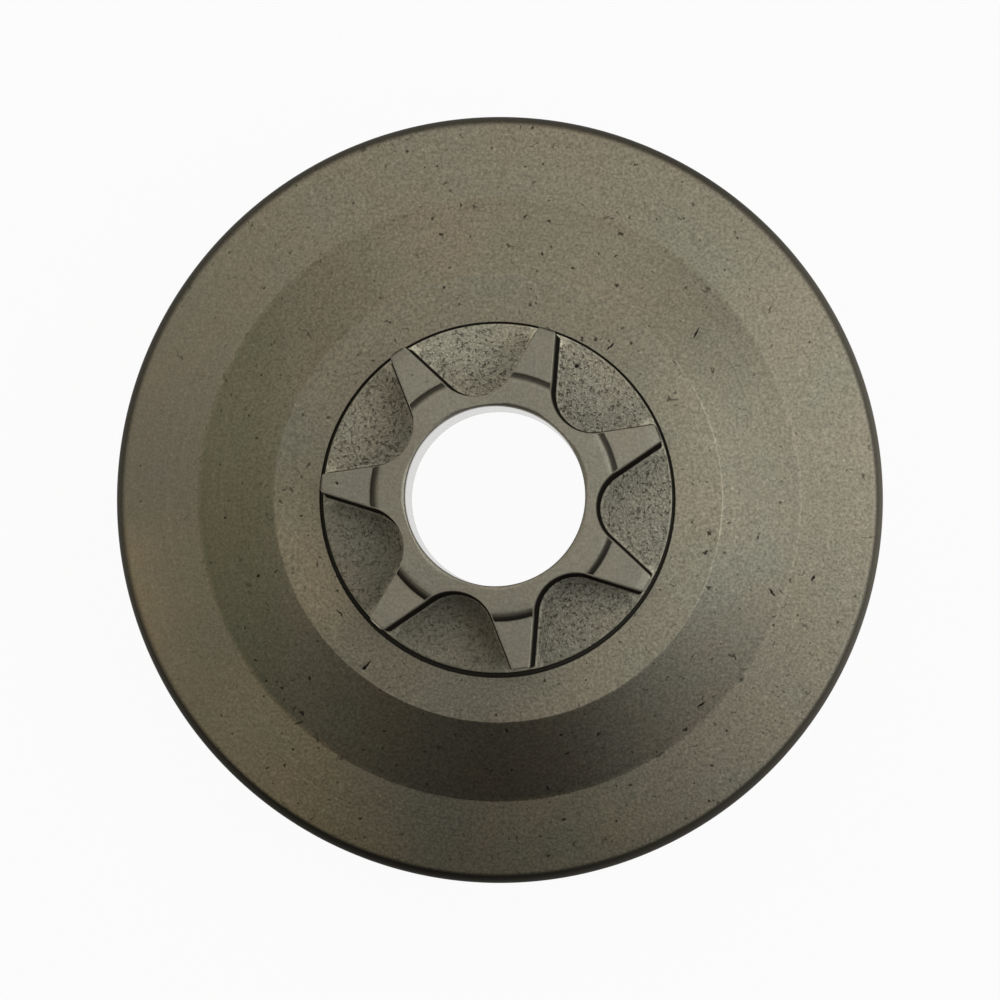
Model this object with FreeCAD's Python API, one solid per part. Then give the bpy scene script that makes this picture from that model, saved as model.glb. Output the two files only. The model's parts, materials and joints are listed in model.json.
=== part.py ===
"""Clutch drum with a star-shaped spur sprocket for a chainsaw, in millimetres.

The drum is a turned steel cup that stands on its open rim. Its web rises in a shallow cone to a flat
land, and the sprocket sits in a hole in that land. The sprocket is a second piece: a round disc that
fills the hole, a wider flange behind it that is brazed to the inside of the web, and drafted teeth
around a bearing hub.

+Z is the axis, towards the teeth. The origin is on the axis, in the plane of the open rim.
"""
import FreeCAD, Part
import math
import os

# Drum
DRUM_OUTER_DIAMETER = 70.0
DRUM_WALL = 2.5
DRUM_HEIGHT = 18.0
WEB_THICKNESS = 3.0
SHOULDER_WIDTH = 7.5
SHOULDER_ROUND = 1.0
INSIDE_CORNER_ROUND = 1.5
RIM_CHAMFER = 0.4
BOSS_HEIGHT = 2.5
LAND_WIDTH = 4.2

# Fit of the sprocket in the drum
SEAM_GAP = 0.3
SEAM_CHAMFER = 0.2
SEAT_MARGIN = 1.25
TIP_MARGIN = 0.2

# Sprocket
TOOTH_COUNT = 7
FIRST_TOOTH_ANGLE = 21.3
BORE_DIAMETER = 16.0
BORE_CHAMFER = 0.3
ROOT_WALL = 1.0
TIP_DIAMETER = 31.2
TIP_WIDTH = 1.5
TIP_CORNER_ROUND = 0.3
TIP_CHAMFER_RUN = 0.9
TIP_CHAMFER_DROP = 0.25
FLANK_ANGLE = 12.9
FLANK_DRAFT = 2.5
TOOTH_TOP_HEIGHT = 8.0
FLOOR_HEIGHT = 0.6
HUB_STEP_WIDTH = 2.1
HUB_STEP_STRAIGHT = 0.1
HUB_EDGE_ROUND = 0.7
DISC_EDGE_CHAMFER = 0.15
FLANGE_THICKNESS = 2.0
FLANGE_CHAMFER = 0.3

# Radii that follow from them
drum_radius = DRUM_OUTER_DIAMETER / 2
chamber_radius = drum_radius - DRUM_WALL
boss_radius = drum_radius - SHOULDER_WIDTH
bore_radius = BORE_DIAMETER / 2
root_radius = bore_radius + ROOT_WALL
hub_radius = root_radius + HUB_STEP_WIDTH
tip_radius = TIP_DIAMETER / 2
disc_radius = tip_radius + TIP_MARGIN
hole_radius = disc_radius + SEAM_GAP
land_radius = hole_radius + LAND_WIDTH
flange_radius = land_radius - SEAT_MARGIN

# Heights that follow from them
chamber_top_z = DRUM_HEIGHT - WEB_THICKNESS
land_z = DRUM_HEIGHT + BOSS_HEIGHT
seat_z = land_z - WEB_THICKNESS
flange_bottom_z = seat_z - FLANGE_THICKNESS
floor_z = land_z + FLOOR_HEIGHT
tooth_top_z = land_z + TOOTH_TOP_HEIGHT
hub_top_z = tooth_top_z + HUB_STEP_STRAIGHT + HUB_EDGE_ROUND

ORIGIN = FreeCAD.Vector(0, 0, 0)
AXIS = FreeCAD.Vector(0, 0, 1)


def line(start, end):
    return Part.LineSegment(start, end).toShape()


def arc(start, middle, end):
    return Part.Arc(start, middle, end).toShape()


def lines(points):
    """Straight edges from each point to the next."""
    return [line(a, b) for a, b in zip(points, points[1:])]


def in_section(radius, z):
    """A point of the half section that is turned about the axis."""
    return FreeCAD.Vector(radius, 0, z)


def quarter_round(centre_radius, centre_z, size, degrees):
    """Start, middle and end of a rounded corner: a quarter circle from the given direction."""
    turns = [math.radians(degrees + part * 90) for part in (0, 0.5, 1)]
    return [in_section(centre_radius + size * math.cos(t), centre_z + size * math.sin(t)) for t in turns]


def turned(edges):
    """The solid that a closed half section sweeps in a full turn about the axis."""
    return Part.Face(Part.Wire(edges)).revolve(ORIGIN, AXIS, 360)


def clutch_drum():
    """A cup with an even wall and web, a rounded shoulder, a conical boss and a hole for the sprocket."""
    shoulder = quarter_round(drum_radius - SHOULDER_ROUND, DRUM_HEIGHT - SHOULDER_ROUND, SHOULDER_ROUND, 0)
    corner = quarter_round(
        chamber_radius - INSIDE_CORNER_ROUND, chamber_top_z - INSIDE_CORNER_ROUND, INSIDE_CORNER_ROUND, 0)
    web = [
        shoulder[2],
        in_section(boss_radius, DRUM_HEIGHT),
        in_section(land_radius, land_z),
        in_section(hole_radius + SEAM_CHAMFER, land_z),
        in_section(hole_radius, land_z - SEAM_CHAMFER),
        in_section(hole_radius, seat_z),
        in_section(land_radius, seat_z),
        in_section(boss_radius, chamber_top_z),
        corner[2],
    ]
    wall = [
        corner[0],
        in_section(chamber_radius, RIM_CHAMFER),
        in_section(chamber_radius + RIM_CHAMFER, 0),
        in_section(drum_radius - RIM_CHAMFER, 0),
        in_section(drum_radius, RIM_CHAMFER),
        shoulder[0],
    ]
    return turned([arc(*shoulder)] + lines(web) + [arc(*reversed(corner))] + lines(wall))


def on_tooth(point, turn, z):
    """A point of a tooth's own frame, u out and v across, turned about the axis and set at height z."""
    u, v = point
    x = u * math.cos(turn) - v * math.sin(turn)
    y = u * math.sin(turn) + v * math.cos(turn)
    return FreeCAD.Vector(x, y, z)


def star_wire(z):
    """The outline of the teeth at height z, grown sideways by the draft below the tooth tops.

    In a tooth's own frame a flank is the line u sin(a) + v cos(a) = reach, with a the flank angle.
    A gullet is one arc that touches two flanks and the root circle, and a small arc rounds each
    corner between a flank and the tip circle.
    """
    growth = (tooth_top_z - z) * math.tan(math.radians(FLANK_DRAFT))
    slope = math.radians(FLANK_ANGLE)
    half_pitch = math.pi / TOOTH_COUNT
    across = (math.sin(slope), math.cos(slope))
    along = (math.cos(slope), -math.sin(slope))
    reach_at_top = TIP_WIDTH / 2 * across[1] + tip_radius * across[0]
    reach = reach_at_top + growth

    lean = math.sin(slope + half_pitch)
    gullet_at_top = (root_radius * lean - reach_at_top) / (1 - lean)
    gullet_radius = gullet_at_top - growth
    gullet_direction = (math.cos(half_pitch), math.sin(half_pitch))
    gullet_middle = [(root_radius + growth) * d for d in gullet_direction]
    gullet_centre = [(root_radius + gullet_at_top) * d for d in gullet_direction]
    flank_start = [c - gullet_radius * n for c, n in zip(gullet_centre, across)]

    corner_reach = tip_radius - TIP_CORNER_ROUND
    inward = reach - TIP_CORNER_ROUND
    outward = math.sqrt(corner_reach ** 2 - inward ** 2)
    corner = [inward * n + outward * t for n, t in zip(across, along)]
    flank_end = [c + TIP_CORNER_ROUND * n for c, n in zip(corner, across)]
    tip_start = [c * tip_radius / corner_reach for c in corner]
    bisector = [p + q - 2 * c for p, q, c in zip(flank_end, tip_start, corner)]
    corner_middle = [c + TIP_CORNER_ROUND * b / math.hypot(*bisector) for c, b in zip(corner, bisector)]

    edges = []
    half_tooth = [flank_start, flank_end, corner_middle, tip_start]
    other_half = [(u, -v) for u, v in half_tooth]
    for tooth in range(TOOTH_COUNT):
        turn = math.radians(FIRST_TOOTH_ANGLE) + 2 * half_pitch * tooth
        up = [on_tooth(p, turn, z) for p in other_half]
        down = [on_tooth(p, turn, z) for p in half_tooth]
        tip_middle = on_tooth((tip_radius, 0), turn, z)
        next_flank = on_tooth(other_half[0], turn + 2 * half_pitch, z)
        edges += [
            line(up[0], up[1]),
            arc(up[1], up[2], up[3]),
            arc(up[3], tip_middle, down[3]),
            arc(down[3], down[2], down[1]),
            line(down[1], down[0]),
            arc(down[0], on_tooth(gullet_middle, turn, z), next_flank),
        ]
    return Part.Wire(edges)


def above_the_teeth():
    """What is turned away above the teeth: it leaves the hub's round step and the tip chamfers."""
    clear_radius = land_radius
    clear_z = hub_top_z + HUB_EDGE_ROUND
    hub_edge = quarter_round(hub_radius - HUB_EDGE_ROUND, hub_top_z - HUB_EDGE_ROUND, HUB_EDGE_ROUND, 0)
    chamfer_start = tip_radius - TIP_CHAMFER_RUN
    chamfer_slope = TIP_CHAMFER_DROP / TIP_CHAMFER_RUN
    outline = [
        hub_edge[2],
        in_section(hub_radius - HUB_EDGE_ROUND, clear_z),
        in_section(clear_radius, clear_z),
        in_section(clear_radius, tooth_top_z - chamfer_slope * (clear_radius - chamfer_start)),
        in_section(chamfer_start, tooth_top_z),
        in_section(hub_radius, tooth_top_z),
        hub_edge[0],
    ]
    return turned([arc(*hub_edge)] + lines(outline))


def spur_sprocket():
    """Teeth and hub on a disc, with the seat flange behind it and the bearing bore through everything."""
    back = [
        in_section(0, floor_z),
        in_section(0, flange_bottom_z),
        in_section(flange_radius - FLANGE_CHAMFER, flange_bottom_z),
        in_section(flange_radius, flange_bottom_z + FLANGE_CHAMFER),
        in_section(flange_radius, seat_z),
        in_section(disc_radius, seat_z),
        in_section(disc_radius, floor_z - DISC_EDGE_CHAMFER),
        in_section(disc_radius - DISC_EDGE_CHAMFER, floor_z),
    ]
    bore = [
        in_section(0, hub_top_z),
        in_section(0, flange_bottom_z),
        in_section(bore_radius + BORE_CHAMFER, flange_bottom_z),
        in_section(bore_radius, flange_bottom_z + BORE_CHAMFER),
        in_section(bore_radius, hub_top_z - BORE_CHAMFER),
        in_section(bore_radius + BORE_CHAMFER, hub_top_z),
    ]
    teeth = Part.makeLoft([star_wire(land_z), star_wire(hub_top_z)], True, True).cut(above_the_teeth())
    body = turned(lines(back + back[:1])).fuse(teeth)
    return body.cut(turned(lines(bore + bore[:1]))).removeSplitter()


def main():
    os.makedirs("parts", exist_ok=True)
    pieces = {"clutch_drum": clutch_drum(), "spur_sprocket": spur_sprocket()}
    for name, shape in pieces.items():
        solid, = shape.Solids
        solid.exportStep(os.path.join("parts", name + ".step"))
        print(name, "valid", solid.isValid(), "volume", round(solid.Volume, 1), "mm3")


main()
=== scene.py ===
"""A chainsaw's clutch drum with its spur sprocket: stained turned steel around sintered teeth.

Lengths are in metres, +Z is the drum's axis towards the teeth, and the drum stands on its open rim.
"""
import json
import math

import bpy
import numpy as np
from bpy.props import FloatProperty, FloatVectorProperty, IntProperty, PointerProperty
from bpy.types import Operator, Panel, PropertyGroup
from mathutils import Matrix, Vector


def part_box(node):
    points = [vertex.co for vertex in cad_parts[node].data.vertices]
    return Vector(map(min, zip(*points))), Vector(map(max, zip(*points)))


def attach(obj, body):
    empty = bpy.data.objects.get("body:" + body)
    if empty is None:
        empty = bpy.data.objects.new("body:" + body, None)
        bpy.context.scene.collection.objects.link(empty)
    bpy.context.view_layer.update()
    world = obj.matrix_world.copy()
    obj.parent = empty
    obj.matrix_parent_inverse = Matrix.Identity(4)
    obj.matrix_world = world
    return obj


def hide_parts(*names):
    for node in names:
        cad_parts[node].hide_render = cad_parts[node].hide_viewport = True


bl_info = {
    "name": "Chainsaw clutch drum",
    "version": (1, 0, 0),
    "blender": (4, 5, 0),
    "location": "3D View > Sidebar > Clutch drum",
    "description": "Builds a clutch drum, its spur sprocket and the stage they stand on",
    "category": "Add Mesh",
}

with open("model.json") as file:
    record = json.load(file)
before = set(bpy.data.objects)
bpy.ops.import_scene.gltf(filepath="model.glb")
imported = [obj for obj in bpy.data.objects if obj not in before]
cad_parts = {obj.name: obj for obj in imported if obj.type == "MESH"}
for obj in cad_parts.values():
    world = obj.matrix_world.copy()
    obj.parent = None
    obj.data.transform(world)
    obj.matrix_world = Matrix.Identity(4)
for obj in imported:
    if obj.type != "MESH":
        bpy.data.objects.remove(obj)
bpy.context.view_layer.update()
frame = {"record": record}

MM = 0.001
drum_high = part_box("clutch_drum")[1]
sprocket_low, sprocket_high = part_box("spur_sprocket")
bores = {
    mount["name"]: mount["dims"]["r_mm"]
    for mount in frame["record"]["mounts"]
    if mount["kind"] == "bore"
}


# Kinds of setting

def length(name, description, millimetres):
    return FloatProperty(
        name=name, description=description, default=millimetres * MM, unit="LENGTH", precision=5)


def turn(name, description, degrees):
    return FloatProperty(
        name=name, description=description, default=math.radians(degrees), subtype="ANGLE")


def tint(name, description, colour):
    return FloatVectorProperty(
        name=name, description=description, default=colour, subtype="COLOR", size=3, min=0.0, max=1.0)


def share(name, description, value):
    return FloatProperty(
        name=name, description=description, default=value, subtype="FACTOR", min=0.0, max=1.0)


class DrumSettings(PropertyGroup):
    """Sizes and colours of the turned cup."""
    radius: length("Outside radius", "Radius of the outer wall", drum_high.x / MM)
    chamber: length("Chamber radius", "Wall that the clutch shoes press on", bores["clutch_bore"])
    land_z: length("Land height", "Height of the flat land above the open rim", drum_high.z / MM)
    boss_rise: length("Boss rise", "How far the land stands above the outer ring", 2.5)
    web: length("Web thickness", "Thickness of the drum's face", 3.0)
    boss: length("Boss radius", "Where the cone leaves the outer ring", 27.5)
    land: length("Land radius", "Where the cone meets the flat land", 20.3)
    hole: length("Hole radius", "Hole that the sprocket's disc fills", 16.05)
    shoulder_round: length("Shoulder round", "Round between the face and the outer wall", 1.0)
    inside_round: length("Inside round", "Round in the corner of the chamber", 1.5)
    rim_chamfer: length("Rim chamfer", "Chamfer on both edges of the open rim", 0.4)
    seam_chamfer: length("Seam chamfer", "Chamfer on the edge of the hole", 0.08)
    seam_depth: length("Seam depth", "Depth of the open seam, down to the braze", 0.3)
    braze: length("Braze radius", "Inner edge of the braze in the seam", 15.82)
    soft_edge: length("Soft edge", "Round that wear leaves on a turned edge", 0.04)
    foot_bend: length("Foot bend", "Round where the cone leaves the outer ring", 0.3)
    land_bend: length("Land bend", "Round where the cone meets the land", 0.3)
    ring_fall: length("Ring fall", "How far the outer ring falls away towards the shoulder", 0.59)
    land_fall: length("Land fall", "How far the land falls away towards the cone", 0.09)
    segments: IntProperty(name="Segments", description="Steps around the axis", default=640, min=48)
    steel: tint("Steel", "Colour of the bare turned face", (0.282, 0.26, 0.2))
    # Stain: a light brown rust film, lighter than the bare steel as painted light on the lower left
    stain_and_painted_light: tint("Stain", "Light brown film of old rust", (0.378, 0.325, 0.22))
    pit: tint("Pit", "Bottom of a pit or hairline", (0.02, 0.017, 0.013))
    # Rim: painted shade on the shoulder, and the dark steel of the seam
    rim: tint("Rim", "Darkened steel of the shoulder and of the seam", (0.05, 0.046, 0.037))


class SprocketSettings(PropertyGroup):
    """Sizes and colours of the star of teeth, its hub and its disc."""
    top_z: length("Hub height", "Height of the hub's top above the open rim", sprocket_high.z / MM)
    bottom_z: length("Flange height", "Height of the flange's underside", sprocket_low.z / MM)
    flange: length("Flange radius", "Flange behind the drum's web", sprocket_high.x / MM)
    flange_thickness: length("Flange thickness", "Thickness of the flange", 2.0)
    flange_chamfer: length("Flange chamfer", "Chamfer on the flange's lower edge", 0.3)
    bore: length("Bore radius", "Hole for the bearing", bores["bearing_bore"])
    bore_chamfer: length("Bore chamfer", "Chamfer at both ends of the bore", 0.12)
    root: length("Root radius", "Where the gullets come nearest to the axis", 9.0)
    hub: length("Hub radius", "Foot of the hub's step", 11.1)
    hub_round: length("Hub round", "Round on the hub's edge", 0.7)
    hub_step: length("Hub step", "Height of the hub above the teeth", 0.8)
    tip: length("Tip radius", "Circle that the tooth tips reach", 15.6)
    tip_width: length("Tip width", "Width of a tooth at its tip", 1.5)
    tip_round: length("Tip round", "Round on the corners of a tip", 0.3)
    chamfer_run: length("Chamfer run", "Length of the slope at the end of a tooth's top", 0.9)
    chamfer_drop: length("Chamfer drop", "Fall of that slope", 0.05)
    disc: length("Disc radius", "Round disc that fills the drum's hole", 15.8)
    disc_chamfer: length("Disc chamfer", "Chamfer on the disc's edge", 0.05)
    floor_z: length("Floor height", "Height of the pocket floors above the open rim", 21.1)
    edge_round: length("Edge round", "Round on the tooth edges", 0.08)
    fillet: length("Fillet", "Round at the foot of the flanks", 0.1)
    grain_depth: length("Grain depth", "Roughness of the sintered floors", 0.05)
    flank_angle: turn("Flank angle", "Lean of a flank from the tooth's middle line", 12.9)
    draft: turn("Draft", "Lean of the flanks from the axis", 2.5)
    first_tooth: turn("First tooth", "Direction of the first tooth", 21.3)
    teeth: IntProperty(name="Teeth", description="Number of teeth", default=7, min=3)
    ground: tint("Ground steel", "Colour of the ground tops", (0.335, 0.315, 0.25))
    sintered: tint("Sintered steel", "Colour of the grainy pocket floors", (0.43, 0.408, 0.322))
    speck: tint("Speck", "Dark hollows between the grains", (0.05, 0.046, 0.036))
    # Film: painted shade in the pockets on the lower left side
    film: tint("Film", "Oil film in the pockets on one side", (0.16, 0.15, 0.105))
    flank: tint("Flank", "Dark skin of the flanks and the seam", (0.035, 0.032, 0.026))
    # Soil: painted shade on the hub's step, and the dark knocks
    step_shade_and_knocks: tint("Soil", "Oil and dirt at the foot of the hub", (0.04, 0.036, 0.028))
    polished: tint("Polished steel", "Bright wall of the bore", (0.36, 0.35, 0.32))


class StageSettings(PropertyGroup):
    """The floor, the lamps and the camera."""
    floor_radius: length("Floor radius", "Reach of the flat floor", 2500.0)
    cove: length("Cove", "Height of the curved edge of the floor", 800.0)
    floor_tint: tint("Floor", "Colour of the floor", (0.9, 0.9, 0.9))
    floor_glow: share("Floor glow", "Share of plain white in what the camera sees of the floor", 0.95)
    room: tint("Room", "Colour of the dim room around the stage", (0.02, 0.019, 0.016))
    distance: length("Camera distance", "From the drum's land to the camera", 440.0)
    tilt: turn("Camera tilt", "Angle between the line of sight and the drum's axis", 2.12)
    heading: turn("Camera heading", "Side that the camera leans to", -38.65)
    lens: FloatProperty(name="Lens", description="Focal length in millimetres", default=175.0, min=10.0)


# Shapes

ARC_STEP = math.radians(15)
# Fewest steps on an arc or a straight run
LEAST_STEPS = 2
# Factors that scatter the values at the corners of a lattice
SCATTER_RIGHT = 12.9898
SCATTER_UP = 78.233
SCATTER_SPAN = 43758.5453


def rounded_path(corners, closed):
    """Points (radius, height) along straight runs, with an arc in place of each corner.

    A corner is (radius, height, round, spacing). Its arc starts and ends at round * tan(turn / 2)
    from the corner, and its points are start + round * (sin(a) * forward + (1 - cos(a)) * sideways).
    Spacing is for the straight run after the corner, whose points crowd towards its ends: the share
    of the run is (1 - cos(pi * step)) / 2.
    """
    corners = np.array(corners, float)
    points, rounds, spacing = corners[:, :2], corners[:, 2], corners[:, 3]
    forward = np.roll(points, -1, axis=0) - points
    run = np.linalg.norm(forward, axis=1)
    forward /= run[:, None]
    arriving = np.roll(forward, 1, axis=0)
    cross = arriving[:, 0] * forward[:, 1] - arriving[:, 1] * forward[:, 0]
    bend = np.arctan2(cross, (arriving * forward).sum(axis=1))
    if not closed:
        rounds[[0, -1]] = 0.0
    reach = rounds * np.tan(np.abs(bend) / 2)
    sideways = np.sign(bend)[:, None] * np.stack([-arriving[:, 1], arriving[:, 0]], axis=1)
    pieces = []
    for here in range(len(corners)):
        arc_steps = max(LEAST_STEPS, math.ceil(abs(bend[here]) / ARC_STEP)) if rounds[here] > 0 else 0
        angle = np.linspace(0, abs(bend[here]), arc_steps + 1)[:, None]
        start = points[here] - reach[here] * arriving[here]
        arc = rounds[here] * (np.sin(angle) * arriving[here] + (1 - np.cos(angle)) * sideways[here])
        pieces.append(start + arc)
        there = (here + 1) % len(corners)
        if there == 0 and not closed:
            break
        straight = run[here] - reach[here] - reach[there]
        steps = max(LEAST_STEPS, math.ceil(straight / spacing[here]))
        along = (1 - np.cos(np.pi * np.arange(1, steps) / steps)) / 2 * straight + reach[here]
        pieces.append(points[here] + along[:, None] * forward[here])
    return np.concatenate(pieces)


def around(path, angles):
    """The path turned about the axis: x = radius * cos(angle), y = radius * sin(angle), z = height.

    The angles may be one list for the whole path, or a row of angles for each point of it.
    """
    angles = np.broadcast_to(angles, (len(path), np.shape(angles)[-1]))
    radius, height = path[:, :1], path[:, 1:]
    return np.stack(
        [radius * np.cos(angles), radius * np.sin(angles), np.broadcast_to(height, angles.shape)], axis=-1)


def polar(points):
    """Distance from the axis and bearing about it: the root of x^2 + y^2, and the angle of (x, y)."""
    return np.hypot(points[:, 0], points[:, 1]), np.arctan2(points[:, 1], points[:, 0])


def shares(steps):
    """A column of even shares of a run, one for the end of each step."""
    return np.arange(1, steps + 1)[:, None] / steps


def smooth_step(value, low, high):
    """0 below low, 1 above high, and the curve 3 t^2 - 2 t^3 between them."""
    t = np.clip((value - low) / (high - low), 0, 1)
    return t * t * (3 - 2 * t)


def lattice_noise(x, y, cell):
    """Grain from 0 to 1: a repeatable number at each corner of a square lattice, blended smoothly between.

    The number is the fraction of |sin(column * right + row * up)| * span, with the factors above.
    """
    column, row = np.floor(x / cell), np.floor(y / cell)
    across = smooth_step(x / cell - column, 0, 1)
    up = smooth_step(y / cell - row, 0, 1)

    def corner(right, above):
        wave = np.sin((column + right) * SCATTER_RIGHT + (row + above) * SCATTER_UP)
        return np.modf(np.abs(wave) * SCATTER_SPAN)[0]

    low = corner(0, 0) * (1 - across) + corner(1, 0) * across
    high = corner(0, 1) * (1 - across) + corner(1, 1) * across
    return low * (1 - up) + high * up


def dents(x, y, marks):
    """Depth of small knocks: each is depth * exp(-(u / long)^2 - (v / wide)^2) along its own heading."""
    depth = np.zeros_like(x)
    for mark_x, mark_y, long, wide, deep, heading in marks:
        cos, sin = math.cos(math.radians(heading)), math.sin(math.radians(heading))
        right, up = x - mark_x * MM, y - mark_y * MM
        u = right * cos + up * sin
        v = up * cos - right * sin
        depth += deep * MM * np.exp(-(u / (long * MM)) ** 2 - (v / (wide * MM)) ** 2)
    return depth


def closed_mesh(name, points, zones):
    """A mesh from a grid of points whose rows and columns both run round and meet themselves.

    Columns run anticlockwise in the half section and rows anticlockwise about the axis, so that
    faces point out. zones holds named numbers from 0 to 1 at every point, which the finishes read.
    """
    columns, rows = points.shape[:2]
    index = np.arange(columns * rows).reshape(columns, rows)
    next_row = np.roll(index, -1, axis=1)
    faces = np.stack([index, next_row, np.roll(next_row, -1, axis=0), np.roll(index, -1, axis=0)], axis=-1)
    mesh = bpy.data.meshes.new(name)
    mesh.from_pydata(points.reshape(-1, 3), [], faces.reshape(-1, 4))
    for zone, values in zones.items():
        attribute = mesh.attributes.new(zone, "FLOAT", "POINT")
        attribute.data.foreach_set("value", np.ascontiguousarray(values, np.float32).ravel())
    mesh.shade_smooth()
    mesh.update()
    return mesh


def add_piece(mesh, node, finish):
    """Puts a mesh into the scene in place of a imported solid."""
    piece = bpy.data.objects.new(mesh.name, mesh)
    bpy.context.scene.collection.objects.link(piece)
    mesh.materials.append(finish)
    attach(piece, "root")
    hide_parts(node)


# Drum

RING_SPACING = 0.32 * MM
LAND_SPACING = 0.18 * MM
WALL_SPACING = 1.0 * MM
HIDDEN_SPACING = 4.0 * MM
HOLE_OFFSET = (-0.05 * MM, -0.13 * MM)
# Height in the web, as a share of it, above which the knocks show
KNOCK_LEVEL = 0.6
# Where the painted shade on the shoulder starts and where it is quite dark, in shoulder rounds from its
# corner
SHOULDER_INWARDS = (1.0, 0.3)
SHOULDER_DOWNWARDS = (2.2, 0.9)
# Share of the seam's chamfer over which it darkens
SEAM_SHARE = 0.6
# Knocks, in millimetres: x, y, half length, half width, depth, heading in degrees
DRUM_MARKS = [
    (-12.08, -15.35, 0.26, 0.17, 0.03, 30),
    (-11.75, -15.0, 0.4, 0.09, 0.03, 50),
    (24.85, -8.5, 0.5, 0.09, 0.03, -50),
    (22.0, -16.5, 0.3, 0.16, 0.02, 60),
    (18.4, -18.7, 0.45, 0.08, 0.03, 40),
    (14.6, -23.3, 0.45, 0.1, 0.02, 35),
    (28.6, -7.2, 0.35, 0.1, 0.03, 60),
    (10.2, 13.7, 0.5, 0.07, 0.03, 45),
    (18.0, 15.0, 0.55, 0.07, 0.03, 62),
    (-18.2, -20.4, 0.45, 0.1, 0.02, 20),
    (-14.3, -10.4, 0.4, 0.08, 0.03, 125),
    (-19.7, -17.2, 0.14, 0.12, 0.03, 0),
    (-21.8, -7.0, 0.16, 0.12, 0.03, 30),
    (-18.7, 0.8, 0.32, 0.1, 0.02, 117),
    (-19.4, 0.75, 0.2, 0.08, 0.02, 20),
    (-19.7, -0.3, 0.3, 0.12, 0.02, 130),
    (-17.8, 1.9, 0.22, 0.09, 0.02, 115),
    (-18.2, 2.5, 0.34, 0.06, 0.02, 140),
    (-17.1, 3.1, 0.15, 0.12, 0.02, 0),
    (-15.4, 7.3, 0.16, 0.13, 0.02, 0),
    (-17.7, 7.6, 0.2, 0.09, 0.02, 60),
    (-21.9, 5.5, 0.15, 0.12, 0.02, 0),
    (-16.4, -6.0, 0.28, 0.08, 0.02, 95),
    (26.5, -7.4, 0.22, 0.09, 0.02, 70),
    (25.1, -10.7, 0.28, 0.08, 0.02, 20),
    (27.2, -10.6, 0.14, 0.12, 0.02, 0),
    (21.9, -10.0, 0.12, 0.1, 0.02, 0),
]


def drum_surface(sizes):
    """The cup's half section turned about the axis.

    The hole lies a little aside, and its offset fades out over the land and over the braze. Each knock
    lowers the face by its depth.
    """
    shoulder_z = sizes.land_z - sizes.boss_rise
    face_z = shoulder_z - sizes.ring_fall
    chamber_z = shoulder_z - sizes.web
    seat_z = sizes.land_z - sizes.web
    edge = sizes.soft_edge
    section = rounded_path([
        (sizes.chamber + sizes.rim_chamfer, 0, edge, HIDDEN_SPACING),
        (sizes.radius - sizes.rim_chamfer, 0, edge, HIDDEN_SPACING),
        (sizes.radius, sizes.rim_chamfer, edge, WALL_SPACING),
        (sizes.radius, face_z, sizes.shoulder_round, RING_SPACING),
        (sizes.boss, shoulder_z, sizes.foot_bend, RING_SPACING),
        (sizes.land, sizes.land_z - sizes.land_fall, sizes.land_bend, LAND_SPACING),
        (sizes.hole + sizes.seam_chamfer, sizes.land_z, edge, HIDDEN_SPACING),
        (sizes.hole, sizes.land_z - sizes.seam_chamfer, edge, HIDDEN_SPACING),
        (sizes.hole, sizes.land_z - sizes.seam_depth, 0, HIDDEN_SPACING),
        (sizes.braze, sizes.land_z - sizes.seam_depth, 0, HIDDEN_SPACING),
        (sizes.braze, seat_z, 0, HIDDEN_SPACING),
        (sizes.land, seat_z, sizes.foot_bend, HIDDEN_SPACING),
        (sizes.boss, chamber_z, sizes.foot_bend, HIDDEN_SPACING),
        (sizes.chamber, chamber_z, sizes.inside_round, HIDDEN_SPACING),
        (sizes.chamber, sizes.rim_chamfer, edge, HIDDEN_SPACING),
    ], closed=True)
    radius, height = section[:, :1], section[:, 1:]
    points = around(section, np.arange(sizes.segments) * 2 * np.pi / sizes.segments)
    aside = smooth_step(radius, sizes.land, sizes.hole) * smooth_step(radius, sizes.braze, sizes.hole)
    points[..., :2] += aside[..., None] * np.array(HOLE_OFFSET)
    face = smooth_step(points[..., 2], chamber_z + KNOCK_LEVEL * sizes.web, shoulder_z)
    points[..., 2] -= face * dents(points[..., 0], points[..., 1], DRUM_MARKS)

    inwards = [sizes.radius - rounds * sizes.shoulder_round for rounds in SHOULDER_INWARDS]
    downwards = [face_z - rounds * sizes.shoulder_round for rounds in SHOULDER_DOWNWARDS]
    zones = {
        # The shoulder, where painted shade goes
        "shoulder": smooth_step(radius, *inwards) * smooth_step(height, *downwards),
        "seam": smooth_step(radius, sizes.hole + SEAM_SHARE * sizes.seam_chamfer, sizes.hole),
    }
    return points, {zone: np.broadcast_to(values, points.shape[:2]) for zone, values in zones.items()}


# Sprocket

OUTLINE_STEPS = {"tip": 4, "corner": 5, "flank": 21, "gullet": 27}
# Steps over the hub, its step, the tooth's top and the tip's slope
TOP_STEPS = (8, 7, 10, 4)
ON_STEP = 1
ON_TOOTH = 2
HUB_ROUND_POINTS = 16
WALL_STEPS = 4
FLOOR_STEPS = 31
EDGE_STEPS = 3
FILLET_STEPS = 4
TOP_MARGIN = 0.03 * MM
STEP_FOOT = 0.03 * MM
DRIFT_SPAN = 0.4 * MM
BACK_SPACING = 4.0 * MM
BACK_ROUND_SHARE = 0.5
# Grain of the pocket floors: size of a lattice cell, and its share
GRAIN_CELLS = ((0.55 * MM, 0.45), (0.3 * MM, 0.4), (0.18 * MM, 0.15))
GRAIN_FADE = 0.35 * MM
# Painted highlight on the floor in front of a tip: distances inside the tip circle, for lines and for
# points
HIGHLIGHT_LINES = (2.6 * MM, 1.0 * MM)
HIGHLIGHT_POINTS = (1.6 * MM, 0.4 * MM)
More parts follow.
